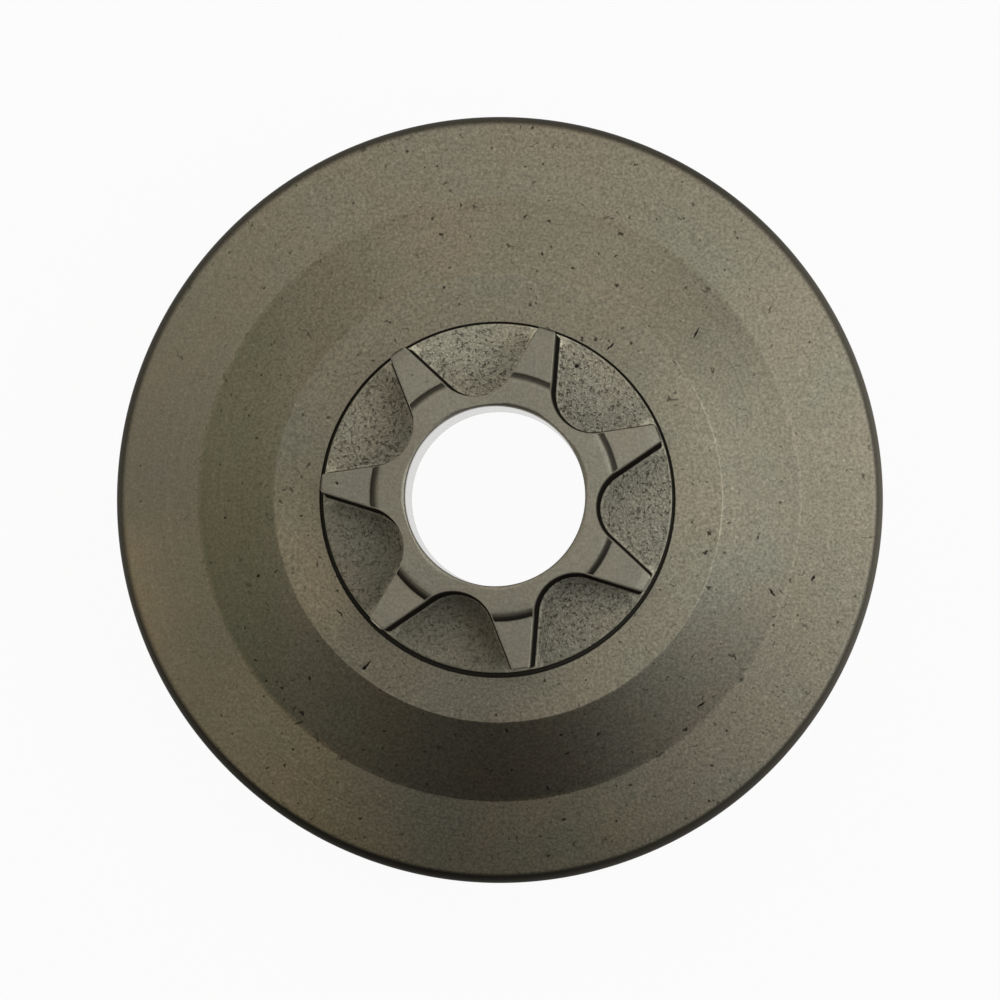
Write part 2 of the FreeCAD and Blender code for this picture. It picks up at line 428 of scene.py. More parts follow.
# Painted shade on the hub's step: its head in hub rounds, its reach over the tooth, and where it is
# lighter towards the top
STEP_SHADE_HEAD = (1.0, 0.4)
STEP_SHADE_REACH = 0.12 * MM
STEP_SHADE_LIFT = 0.16
STEP_SHADE_LIFT_SPAN = (-9.0 * MM, -1.0 * MM)
# Tooth ends with painted light below and painted shade above, in lengths of the tip's slope inside the tip
# circle
TIP_LIGHT_REACH = (1.1, 0.7)
# Dark line on the ends of the upper teeth
TIP_LINE = 0.15 * MM
TIP_LINE_STRENGTH = 0.8
TIP_LINE_SPAN = (-6.0 * MM, 2.0 * MM)
SEAM_FADE = 0.1 * MM
# Knocks, with the same columns as the drum's
SPROCKET_MARKS = [
    (-14.1, 1.17, 0.2, 0.12, 0.05, 120),
    (7.15, 11.95, 0.2, 0.18, 0.12, 0),
    (-7.4, 10.8, 0.1, 0.08, 0.02, 40),
    (-6.1, 10.2, 0.1, 0.07, 0.02, 80),
]


def half_tooth(sizes, growth):
    """Half of a tooth's outline in its own frame, from the middle of its tip to the middle of its gullet.

    A flank is the line u sin(a) + v cos(a) = reach, with a the flank angle, and growth adds to its reach.
    The gullet is one arc that touches two flanks and the root circle. A small arc rounds each tip corner.
    """
    slope = sizes.flank_angle
    half_pitch = math.pi / sizes.teeth
    across = np.array([math.sin(slope), math.cos(slope)])
    along = np.array([math.cos(slope), -math.sin(slope)])
    reach_at_top = sizes.tip_width / 2 * across[1] + sizes.tip * across[0]
    lean = math.sin(slope + half_pitch)
    gullet_at_top = (sizes.root * lean - reach_at_top) / (1 - lean)
    gullet = gullet_at_top - growth
    gullet_centre = (sizes.root + gullet_at_top) * np.array([math.cos(half_pitch), math.sin(half_pitch)])
    corner_reach = sizes.tip - sizes.tip_round
    inward = reach_at_top + growth - sizes.tip_round
    corner = inward * across + math.sqrt(corner_reach ** 2 - inward ** 2) * along
    flank_end = corner + sizes.tip_round * across
    flank_start = gullet_centre - gullet * across
    tip_turn = math.atan2(corner[1], corner[0])
    flank_turn = math.pi / 2 - slope
    gullet_turns = (math.pi + flank_turn, math.pi + half_pitch)

    def arc(centre, radius, first, last, steps, endpoint=False):
        angle = np.linspace(first, last, steps + endpoint, endpoint=endpoint)
        return centre + radius * np.stack([np.cos(angle), np.sin(angle)], axis=1)

    flank_share = np.linspace(0, 1, OUTLINE_STEPS["flank"], endpoint=False)[:, None]
    return np.concatenate([
        arc(np.zeros(2), sizes.tip, 0, tip_turn, OUTLINE_STEPS["tip"]),
        arc(corner, sizes.tip_round, tip_turn, flank_turn, OUTLINE_STEPS["corner"]),
        flank_end + flank_share * (flank_start - flank_end),
        arc(gullet_centre, gullet, *gullet_turns, OUTLINE_STEPS["gullet"], endpoint=True),
    ])


def star_outline(sizes, growth):
    """The outline of all teeth: half a tooth and its mirror image, turned to each tooth's direction."""
    half = half_tooth(sizes, growth)
    tooth = np.concatenate([half[::-1] * (1, -1), half[1:-1]])
    angles = sizes.first_tooth + np.arange(sizes.teeth) * 2 * np.pi / sizes.teeth
    turns = np.array([[np.cos(angles), np.sin(angles)], [-np.sin(angles), np.cos(angles)]])
    return np.einsum("pi,ijt->tpj", tooth, turns).reshape(-1, 2)


def top_section(sizes):
    """Radius and height along the tops: hub, quarter round down the step, tooth top and tip slope."""
    tooth_z = sizes.top_z - sizes.hub_step
    angle = np.linspace(0, np.pi / 2, HUB_ROUND_POINTS)
    radius = np.concatenate([
        [sizes.bore], sizes.hub - sizes.hub_round * (1 - np.sin(angle)),
        [sizes.hub + STEP_FOOT, sizes.tip - sizes.chamfer_run, sizes.tip]])
    height = np.concatenate([
        [sizes.top_z], sizes.top_z - sizes.hub_round * (1 - np.cos(angle)),
        [tooth_z, tooth_z, tooth_z - sizes.chamfer_drop]])
    return radius, height


def tooth_tops(sizes, reach, bearing):
    """Radius and points of the tops, on lines that run straight out from the bore to the star's rim.

    Each line has four parts: hub, step, tooth and tip slope. The share of a part is even, but it is
    sin(pi / 2 * step) on the hub's step and step^2 on the tooth. Short lines squeeze the outer parts.
    """
    slope_start = np.minimum(sizes.tip - sizes.chamfer_run, reach - TOP_MARGIN)
    step_foot = np.minimum(sizes.hub + STEP_FOOT, slope_start - TOP_MARGIN)
    step_head = np.minimum(sizes.hub - sizes.hub_round, step_foot - TOP_MARGIN)
    start = np.full_like(reach, sizes.bore + sizes.bore_chamfer)
    breaks = np.stack([start, step_head, step_foot, slope_start, reach, reach])
    knots = [part + np.linspace(0, 1, steps, endpoint=False) for part, steps in enumerate(TOP_STEPS)]
    knots = np.concatenate(knots + [[len(TOP_STEPS)]])
    part = knots.astype(int)
    between = knots - part
    between = np.where(part == ON_STEP, np.sin(between * np.pi / 2), between)
    between = np.where(part == ON_TOOTH, between ** 2, between)[:, None]
    radius = breaks[part] * (1 - between) + breaks[part + 1] * between
    height = np.interp(radius, *top_section(sizes))
    points = np.stack([radius * np.cos(bearing), radius * np.sin(bearing), height], axis=-1)
    points[..., 2] -= dents(points[..., 0], points[..., 1], SPROCKET_MARKS)
    return radius, points


def tooth_sides(sizes, outline, drift, rim_z):
    """The rounded edge under the rim, the drafted flank, and the fillet at its foot.

    At a height the outline has moved along its drift by (tooth top - height) * tan(draft). The edge is
    a quarter round inside that, and the fillet a quarter round outside it.
    """
    tooth_z = sizes.top_z - sizes.hub_step
    lean = math.tan(sizes.draft)
    foot_z = sizes.floor_z + sizes.fillet

    def level(growth, height):
        flat = outline + growth[..., None] * drift
        height = np.broadcast_to(height, flat.shape[:2])
        return np.concatenate([flat, height[..., None]], axis=-1)

    angle = np.pi / 2 * shares(EDGE_STEPS)
    edge_z = rim_z - sizes.edge_round * (1 - np.cos(angle))
    edge = level((tooth_z - edge_z) * lean - sizes.edge_round * (1 - np.sin(angle)), edge_z)
    wall_top = rim_z - sizes.edge_round
    wall_z = wall_top + shares(WALL_STEPS) * (foot_z - wall_top)
    wall = level((tooth_z - wall_z) * lean, wall_z)
    angle = np.pi / 2 * shares(FILLET_STEPS)
    foot_growth = (tooth_z - foot_z) * lean + sizes.fillet * (1 - np.cos(angle))
    foot = level(foot_growth, foot_z - sizes.fillet * np.sin(angle))
    return edge, wall, foot


def pocket_floors(sizes, start, bearing):
    """Points of the floors and their painted highlight in front of the tips, on lines straight out to the
    disc's edge.

    A sum of lattice noises lowers the floor and fades out at both ends of a line, and knocks go deeper.
    """
    end = sizes.disc - sizes.disc_chamfer
    radius = start + shares(FLOOR_STEPS) * (end - start)
    x, y = radius * np.cos(bearing), radius * np.sin(bearing)
    grain = sum(weight * lattice_noise(x, y, cell) for cell, weight in GRAIN_CELLS)
    to_border = np.minimum(radius - start, end - radius)
    height = sizes.floor_z - sizes.grain_depth * grain * smooth_step(to_border, 0, GRAIN_FADE)
    height -= dents(x, y, SPROCKET_MARKS)
    # Painted highlight on the floor in front of the tips
    lines = smooth_step(start, *(sizes.tip - inside for inside in HIGHLIGHT_LINES))
    corner_highlight = lines * smooth_step(radius, *(sizes.tip - inside for inside in HIGHLIGHT_POINTS))
    return np.stack([x, y, height], axis=-1), corner_highlight


def back_section(sizes):
    """Radius and height from the disc's edge down to the seat, round the flange and up the bore."""
    seat_z = sizes.bottom_z + sizes.flange_thickness
    corners = np.array([
        (sizes.disc, sizes.floor_z - sizes.disc_chamfer),
        (sizes.disc, seat_z),
        (sizes.flange, seat_z),
        (sizes.flange, sizes.bottom_z + sizes.flange_chamfer),
        (sizes.flange - sizes.flange_chamfer, sizes.bottom_z),
        (sizes.bore + sizes.bore_chamfer, sizes.bottom_z),
        (sizes.bore, sizes.bottom_z + sizes.bore_chamfer),
        (sizes.bore, sizes.top_z - sizes.bore_chamfer),
    ])
    rounds = np.full((len(corners), 2), (BACK_ROUND_SHARE * sizes.edge_round, BACK_SPACING))
    return rounded_path(np.hstack([corners, rounds]), closed=False)


def sprocket_surface(sizes):
    """One closed skin: a row runs out over the top, down a flank, over the floor and round the back.

    Rows are the points of the star outline, and drift is how far a point moves as the outline grows.
    On the back, the bearing turns evenly from that of the floor's line to that of the top's line.
    """
    outline = star_outline(sizes, 0.0)
    drift = (star_outline(sizes, DRIFT_SPAN) - outline) / DRIFT_SPAN
    reach, bearing = polar(outline - sizes.edge_round * drift)
    rim_z = np.interp(reach, *top_section(sizes))
    top_radius, top = tooth_tops(sizes, reach, bearing)
    edge, wall, foot = tooth_sides(sizes, outline, drift, rim_z)
    floor_start, floor_bearing = polar(foot[-1])
    floor, corner_highlight = pocket_floors(sizes, floor_start, floor_bearing)
    section = back_section(sizes)
    turn_back = np.angle(np.exp(1j * (bearing - floor_bearing)))
    back = around(section, floor_bearing + np.linspace(0, 1, len(section))[:, None] * turn_back)
    strips = {"top": top, "edge": edge, "wall": wall, "foot": foot, "floor": floor, "back": back}

    def zone(**levels):
        """The given level on each named strip, and 0 on the others."""
        values = [np.broadcast_to(levels.get(name, 0), strip.shape[:2]) for name, strip in strips.items()]
        return np.concatenate(values)[::-1]

    # Painted shade on the hub's step, lighter towards the top
    step_painted_shade = smooth_step(top_radius, *(sizes.hub - rounds * sizes.hub_round for rounds in STEP_SHADE_HEAD))
    step_painted_shade *= smooth_step(top_radius, sizes.hub + STEP_SHADE_REACH, sizes.hub)
    step_painted_shade *= 1 - STEP_SHADE_LIFT * smooth_step(top[..., 1], *STEP_SHADE_LIFT_SPAN)
    # Tooth ends that get painted light below and painted shade above
    tip_painted_light = smooth_step(top_radius, *(sizes.tip - runs * sizes.chamfer_run for runs in TIP_LIGHT_REACH))
    tip_line = smooth_step(top_radius, sizes.tip - TIP_LINE, sizes.tip)
    tip_line *= TIP_LINE_STRENGTH * smooth_step(top[..., 1], *TIP_LINE_SPAN)
    skin = (1 - shares(FILLET_STEPS)) ** 2
    seat_z = sizes.bottom_z + sizes.flange_thickness
    in_bore = smooth_step(section[:, :1], sizes.bore + sizes.bore_chamfer, sizes.bore)
    in_seam = smooth_step(section[:, 1:], seat_z - SEAM_FADE, seat_z) * (1 - in_bore)
    zones = {
        "flank": zone(top=tip_line, edge=tip_line[-1], wall=1, foot=skin),
        "pocket": zone(foot=1 - skin, floor=1),
        "corner_highlight": zone(floor=corner_highlight),
        "step": zone(top=step_painted_shade),
        "tip": zone(top=tip_painted_light),
        "seam": zone(back=in_seam),
        "bore": zone(back=in_bore),
    }
    return np.concatenate(list(strips.values()))[::-1], zones


# Finishes

# A knock of this depth, in millimetres, is quite dark
FULL_DARK = 0.03
# A knock's spot fades out between these distances from its middle, in its own half sizes
SPOT_EDGE = (0.7, 1.25)
# Middle of a noise that runs from 0 to 1, and the part of it over which soft hues change
NOISE_MIDDLE = 0.5
TINGE_EDGE = (0.35, 0.65)
# Sockets of a blend: its amount, its two colours and its result
BLEND_AMOUNT = 0
BLEND_FIRST = 6
BLEND_SECOND = 7
BLEND_RESULT = 2


def opaque(colour):
    return (*colour, 1.0)


class Finish:
    """A material while it is put together: short calls add a node and give back its output."""

    def __init__(self, name):
        self.material = bpy.data.materials.new(name)
        self.material.use_nodes = True
        self.tree = self.material.node_tree
        self.tree.nodes.clear()

    def node(self, kind, inputs=(), **settings):
        node = self.tree.nodes.new(kind)
        for name, value in settings.items():
            setattr(node, name, value)
        for socket, value in dict(inputs).items():
            if isinstance(value, bpy.types.NodeSocket):
                self.tree.links.new(value, node.inputs[socket])
            else:
                node.inputs[socket].default_value = value
        return node

    def sums(self, operation, first, second=0.0):
        return self.node("ShaderNodeMath", {0: first, 1: second}, operation=operation).outputs[0]

    def plus(self, first, second):
        return self.sums("ADD", first, second)

    def minus(self, first, second):
        return self.sums("SUBTRACT", first, second)

    def times(self, first, second):
        return self.sums("MULTIPLY", first, second)

    def larger(self, first, second):
        return self.sums("MAXIMUM", first, second)

    def vectors(self, operation, *inputs):
        """A sum with vectors; the length comes out as a number, the rest as a vector."""
        node = self.node("ShaderNodeVectorMath", dict(enumerate(inputs)), operation=operation)
        return node.outputs["Value" if operation == "LENGTH" else "Vector"]

    def ramp(self, value, low, high, at_low=0.0, at_high=1.0):
        """at_low below low, at_high above high, and a smooth step between them."""
        sockets = {"Value": value, "From Min": low, "From Max": high, "To Min": at_low, "To Max": at_high}
        return self.node("ShaderNodeMapRange", sockets, interpolation_type="SMOOTHSTEP").outputs["Result"]

    def blend(self, amount, first, second, mode="MIX"):
        sockets = {BLEND_AMOUNT: amount, BLEND_FIRST: first, BLEND_SECOND: second}
        node = self.node("ShaderNodeMix", sockets, data_type="RGBA", blend_type=mode)
        return node.outputs[BLEND_RESULT]

    def brighten(self, colour, factor):
        """The colour times a number that varies over the surface."""
        return self.vectors("MULTIPLY", colour, factor)

    def zone(self, name):
        return self.node("ShaderNodeAttribute", attribute_name=name).outputs["Fac"]

    def bump(self, height, distance):
        return self.node("ShaderNodeBump", {"Height": height, "Distance": distance}).outputs["Normal"]

    def done(self, **sockets):
        """Sets the shader's sockets, named with _ for a space, and gives back the material."""
        sockets = {name.replace("_", " "): value for name, value in sockets.items()}
        shader = self.node("ShaderNodeBsdfPrincipled", sockets)
        self.node("ShaderNodeOutputMaterial", {"Surface": shader.outputs[0]})
        return self.material


class SteelFinish(Finish):
    """A finish whose patterns are laid out on the part itself, with right and up as in the front view.

    A kind of noise is its scale, its detail and its roughness.
    """

    def __init__(self, name):
        super().__init__(name)
        self.place = self.node("ShaderNodeTexCoord").outputs["Object"]
        self.right, self.up, self.height = self.node("ShaderNodeSeparateXYZ", {0: self.place}).outputs

    def noise(self, kind, place=None, output="Fac"):
        scale, detail, roughness = kind
        sockets = {"Vector": place or self.place, "Scale": scale, "Detail": detail, "Roughness": roughness}
        return self.node("ShaderNodeTexNoise", sockets).outputs[output]

    def towards(self, right, up):
        """A number that grows to one side: right * x + up * y."""
        return self.plus(self.times(self.right, right), self.times(self.up, up))

    def beside(self, spread):
        """The distance to the middle line of the front view, times spread."""
        return self.times(self.sums("ABSOLUTE", self.right), spread)

    def tinge(self, kind, green, brown):
        """Soft patches of two slight hues, to be multiplied with a colour."""
        return self.blend(self.ramp(self.noise(kind), *TINGE_EDGE), opaque(green), opaque(brown))

    def ragged(self, kind, reach):
        """The place moved about by up to half of reach, so that a mark there gets a ragged outline."""
        wander = self.noise(kind, output="Color")
        moved = self.vectors("MULTIPLY_ADD", wander, (reach,) * 3, (-reach / 2,) * 3)
        return self.vectors("ADD", self.place, moved)

    def spots(self, place, marks):
        """How dark each knock is, by its depth: a soft spot in a frame that is stretched to the knock."""
        dark = 0.0
        for x, y, long, wide, deep, heading in marks:
            sockets = {
                "Vector": place,
                "Location": (x * MM, y * MM, 0.0),
                "Rotation": (0.0, 0.0, math.radians(heading)),
                "Scale": (long * MM, wide * MM, 1.0),
            }
            stretched = self.node("ShaderNodeMapping", sockets, vector_type="TEXTURE").outputs[0]
            away = self.vectors("LENGTH", stretched)
            dark = self.larger(self.ramp(away, *SPOT_EDGE, min(1.0, deep / FULL_DARK), 0.0), dark)
        return dark


# Turned steel

# Noises: scale, detail, roughness
DRUM_GRAIN = (3900.0, 2.0, 0.65)
DRUM_PATCHES = (45.0, 2.0, 0.5)
DRUM_HUES = (130.0, 3.0, 0.55)
DRUM_RAGGED = (2600.0, 2.0, 0.5)
RING_LINES = (3200.0, 3.0, 0.7)
HAIRLINES = (620.0, 1.0, 0.5)
HAIRLINE_PATCHES = (950.0, 1.0, 0.5)
PIT_SCALE = 620.0
DRUM_RAGGED_REACH = 0.35 * MM
# Slight hues, as factors of a colour
GREEN_TINGE = (0.965, 1.0, 0.98)
BROWN_TINGE = (1.03, 0.995, 0.96)
# Painted shade on the left of the cone
CONE_SHADE_TINGE = (0.86, 0.9, 0.83)
# How far the land and the outer ring reach over the cone's edges
LAND_FADE = 0.1 * MM
RING_FADE = 0.4 * MM
# Growth of the stain and its painted light to the right and up, for each metre, and the direction of the
# side with painted light
STAIN_AND_LIGHT_SIDE = (-9.0, -8.0)
LIT_SIDE = (0.93, -0.37)
# How fast the painted shade at the bottom ends to the left and right
BOTTOM_SHADE_SPREAD = 0.6
# Strengths of shades, marks and relief
# Painted light on the land and painted shade on the cone, on the right side
LAND_PAINTED_LIGHT = 0.26
CONE_PAINTED_SHADE = 0.1
MARK_STRENGTH = 0.8
PIT_BREAK = 0.35
SHOULDER_DULL = 0.65
GRAIN_RELIEF = 0.6
RING_RELIEF = 0.3
DRUM_RELIEF = 0.02 * MM
STEEL_ROUGHNESS = 0.37
# Ramps: where they start and end, and their values there
# Stain, lighter than bare steel as painted light, and more of it on the left of the land
STAIN_AND_LIGHT_EDGE = (0.66, 1.0, 0.0, 1.0)
LAND_STAIN_AND_LIGHT = (-18.0 * MM, -2.0 * MM, 0.15, 0.0)
# Where the painted shade on the left of the cone fades out
CONE_LEFT_SHADE = (-22.5 * MM, -17.5 * MM, 1.0, 0.0)
CONTRAST = (-34.0 * MM, -14.0 * MM, 0.45, 1.0)
GRAIN_SHADE = (0.2, 0.8, -0.32, 0.32)
RING_SHADE = (0.25, 0.75, 0.93, 1.07)
# Painted glints on the high grain
PAINTED_GLINTS = (0.68, 0.76, 1.0, 1.3)
# Where the painted light on the right side grows
LIT_SIDE_EDGE = (4.0 * MM, 17.0 * MM, 0.0, 1.0)
# Painted shade towards the bottom
BOTTOM_PAINTED_SHADE = (-30.0 * MM, -12.0 * MM, 0.78, 1.0)
HAIRLINE_EDGE = (0.005, 0.018, 0.8, 0.0)
HAIRLINE_PLACES = (0.61, 0.69, 0.0, 1.0)
PIT_REACH = (0.45, 0.9, 0.0, 0.13)
PIT_EDGE = (-0.05, 0.0, 1.0, 0.0)
PIT_FACE = (16.4 * MM, 16.8 * MM, 0.0, 1.0)
PIT_PLACES = (0.38, 0.6, 0.45, 1.0)
PIT_RING = (0.0, 1.0, 1.1, 0.75)
# Painted shade on the shoulder, wider towards the bottom, and painted light on it up and to the right
SHOULDER_SHADE_SPAN = (-28.0 * MM, -4.0 * MM, 0.4, 1.0)
RIM_LIGHT_UPWARDS = (-32.0 * MM, -4.0 * MM, 0.6, 1.55)
RIM_LIT_SIDE = (5.0 * MM, 33.0 * MM, 1.0, 2.3)


def turning_lines(finish, radius):
    """Fine rings: a noise of radius plus height, which changes along the half section only."""
    along = finish.node("ShaderNodeCombineXYZ", {0: finish.plus(radius, finish.height)}).outputs[0]
    return finish.noise(RING_LINES, along)


def hairlines(finish, place):
    """Short dark squiggles: thin level lines of a noise, kept only where a second noise is high."""
    level = finish.sums("ABSOLUTE", finish.minus(finish.noise(HAIRLINES, place), NOISE_MIDDLE))
    kept = finish.ramp(finish.noise(HAIRLINE_PATCHES), *HAIRLINE_PLACES)
    return finish.times(kept, finish.ramp(level, *HAIRLINE_EDGE))


def pits(finish, place, grain, crowd):
    """Small dark pits in the middles of flat cells, on the face only.

    A cell's random colour and the crowd set a pit's reach, and the grain breaks up its outline.
    """
    sockets = {"Vector": place, "Scale": PIT_SCALE}
    cell = finish.node("ShaderNodeTexVoronoi", sockets, voronoi_dimensions="2D").outputs
    reach = finish.times(finish.ramp(cell["Color"], *PIT_REACH), crowd)
    broken = finish.times(finish.minus(grain, NOISE_MIDDLE), PIT_BREAK)
    away = finish.minus(finish.plus(cell["Distance"], broken), reach)
    return finish.times(finish.ramp(away, *PIT_EDGE), finish.ramp(finish.height, *PIT_FACE))


def turned_steel(settings):
    """Stained turned steel with fine grain, pits, squiggles and faint rings, and painted shade at the
    shoulder.

    The stained colour, lighter on the lower left as painted light, gets painted shade on the left of the
    cone and is multiplied by a shade for grain, painted glints, rings, painted light on the right side and
    painted shade at the bottom. Pits, squiggles and knocks are laid over it, and then the shoulder's
    painted shade and the dark seam.
    """
    finish = SteelFinish("turned_steel")
    flat = finish.node("ShaderNodeCombineXYZ", {0: finish.right, 1: finish.up}).outputs[0]
    radius = finish.vectors("LENGTH", flat)
    on_land = finish.ramp(radius, settings.land - LAND_FADE, settings.land + 2 * LAND_FADE, 1.0, 0.0)
    on_ring = finish.ramp(radius, settings.boss - RING_FADE, settings.boss)
    off_cone = finish.larger(on_land, on_ring)
    on_cone = finish.minus(1.0, off_cone)
    rings = turning_lines(finish, radius)
    grain = finish.noise(DRUM_GRAIN)
    patch = finish.noise(DRUM_PATCHES)
    contrast = finish.ramp(finish.right, *CONTRAST)
    # Distance towards the side that gets painted light
    to_lit_side = finish.towards(*LIT_SIDE)

    # Rust stain towards the lower left, lighter than the bare steel there as painted light
    to_stain_and_light = finish.times(on_land, finish.ramp(finish.right, *LAND_STAIN_AND_LIGHT))
    to_stain_and_light = finish.plus(finish.towards(*STAIN_AND_LIGHT_SIDE), to_stain_and_light)
    stain_and_painted_light = finish.times(off_cone, finish.ramp(finish.plus(patch, to_stain_and_light), *STAIN_AND_LIGHT_EDGE))
    colour = finish.blend(stain_and_painted_light, opaque(settings.steel), opaque(settings.stain_and_painted_light))
    colour = finish.brighten(colour, finish.tinge(DRUM_HUES, GREEN_TINGE, BROWN_TINGE))
    # Painted shade, darker and greener, on the left of the cone
    cone_left_shade = finish.times(on_cone, finish.ramp(finish.right, *CONE_LEFT_SHADE))
    colour = finish.blend(cone_left_shade, colour, opaque(CONE_SHADE_TINGE), "MULTIPLY")

    shade = finish.plus(1.0, finish.times(contrast, finish.ramp(grain, *GRAIN_SHADE)))
    shade = finish.times(shade, finish.ramp(rings, *RING_SHADE))
    # Painted glints: the highest grain is brightened
    shade = finish.times(shade, finish.ramp(grain, *PAINTED_GLINTS))
    # Painted light on the right of the land and painted shade on the right of the cone
    painted_light = finish.minus(finish.times(on_land, LAND_PAINTED_LIGHT), finish.times(on_cone, CONE_PAINTED_SHADE))
    painted_light = finish.times(painted_light, finish.ramp(to_lit_side, *LIT_SIDE_EDGE))
    shade = finish.times(shade, finish.plus(painted_light, 1.0))
    # Painted shade, darker towards the bottom
    bottom_painted_shade = finish.ramp(finish.plus(finish.up, finish.beside(BOTTOM_SHADE_SPREAD)), *BOTTOM_PAINTED_SHADE)
    colour = finish.brighten(colour, finish.times(shade, bottom_painted_shade))

    ragged = finish.ragged(DRUM_RAGGED, DRUM_RAGGED_REACH)
    crowd = finish.times(finish.ramp(patch, *PIT_PLACES), finish.ramp(on_ring, *PIT_RING))
    lines = finish.times(hairlines(finish, ragged), contrast)
    marks = finish.larger(pits(finish, ragged, grain, crowd), lines)
    marks = finish.larger(finish.times(marks, MARK_STRENGTH), finish.spots(ragged, DRUM_MARKS))
    colour = finish.blend(marks, colour, opaque(settings.pit))

    seam = finish.zone("seam")
    # Painted shade on the shoulder, wider towards the bottom and lighter up and to the right as painted
    # light; the seam is dark steel
    shoulder = finish.sums("DIVIDE", finish.zone("shoulder"), finish.ramp(finish.up, *SHOULDER_SHADE_SPAN))
    shoulder = finish.sums("MINIMUM", 1.0, shoulder)
    rim_painted_light = finish.times(finish.ramp(finish.up, *RIM_LIGHT_UPWARDS), finish.ramp(to_lit_side, *RIM_LIT_SIDE))
    darkened = finish.brighten(tuple(settings.rim), rim_painted_light)
    colour = finish.blend(finish.larger(shoulder, seam), colour, darkened)
    dull = finish.larger(finish.times(shoulder, SHOULDER_DULL), seam)
    relief = finish.plus(finish.times(grain, GRAIN_RELIEF), finish.times(rings, RING_RELIEF))
    return finish.done(
        Base_Color=colour, Metallic=finish.minus(1.0, dull), Roughness=STEEL_ROUGHNESS,
        Normal=finish.bump(relief, DRUM_RELIEF), Specular_IOR_Level=0.0)


# Sintered steel

# Noises: scale, detail, roughness
GROUND_PATCHES = (90.0, 2.0, 0.5)
SINTER_GRAIN = (3900.0, 3.0, 0.7)
SINTER_HOLLOWS = (3200.0, 2.0, 0.6)
SPROCKET_HUES = (200.0, 3.0, 0.55)
SPROCKET_RAGGED = (3200.0, 2.0, 0.5)
SPROCKET_RAGGED_REACH = 0.18 * MM
# Slight hues, as factors of a colour
COOL_TINGE = (0.98, 1.0, 1.0)
WARM_TINGE = (1.02, 1.0, 0.98)
# Side of the pockets with painted shade, and how fast the painted light on the top pockets ends away from
# the top
POCKET_SHADE_SIDE = (-0.5, -0.9)
TOP_LIGHT_SPREAD = 0.5
# Strength of the painted shade in the lower left pockets
POCKET_SHADE_STRENGTH = 0.42
BORE_POLISH = 0.2
SPROCKET_RELIEF = 0.06 * MM
# Ramps: where they start and end, and their values there
# Painted light on the lower tooth ends and painted shade on the upper ones
TIP_PAINTED_LIGHT = (-13.0 * MM, 13.0 * MM, 0.3, -0.15)
PATCH_SHADE = (0.3, 0.7, 0.92, 1.06)
GROUND_SHADE = (0.2, 0.8, 0.8, 1.2)
# Painted shade in the lower left pockets
POCKET_SHADE_EDGE = (3.0 * MM, 13.0 * MM, 0.0, 1.0)
SINTER_SHADE = (0.35, 0.7, 0.78, 1.3)
HOLLOW_EDGE = (0.32, 0.44, 0.55, 0.0)
# Fewer dark hollows in the painted shade of the lower left pockets
HOLLOW_POCKET_SHADE = (0.0, 1.0, 1.0, 0.85)
# Painted light on the top pockets
TOP_POCKET_LIGHT = (4.0 * MM, 12.0 * MM, 1.0, 1.2)
# Painted highlight on the floor in front of the tips
CORNER_HIGHLIGHT_SHADE = (0.0, 1.0, 1.0, 1.5)
POCKET_RELIEF = (0.0, 1.0, 0.1, 1.0)
POCKET_ROUGHNESS = (0.0, 1.0, STEEL_ROUGHNESS, 0.5)


